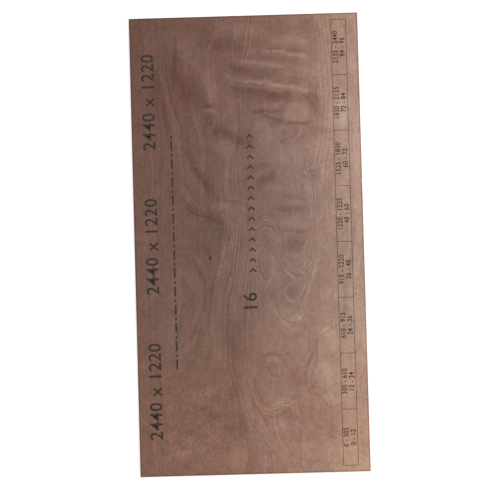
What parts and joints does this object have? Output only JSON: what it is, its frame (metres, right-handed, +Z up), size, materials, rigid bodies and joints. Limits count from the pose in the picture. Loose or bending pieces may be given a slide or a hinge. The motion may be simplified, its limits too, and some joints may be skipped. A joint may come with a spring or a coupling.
{
  "type": "plywood sheet",
  "caption": "Full-size flat plywood sheet with a reddish-brown rotary-cut face veneer and sealed edges, stock for furniture, cladding and formwork.",
  "frame": {"origin": "centre of the sheet's underside, on the floor", "axes": "+Z up out of the printed face, +Y along the sheet the way the face grain runs, +X across the sheet"},
  "size_m": [1.22, 2.44, 0.016],
  "materials": {
    "plywood": "sanded reddish-brown hardwood veneer, matt, with red-brown sealed edges"
  },
  "bodies": {
    "root": {"plywood_sheet": "plywood"}
  },
  "joints": []
}
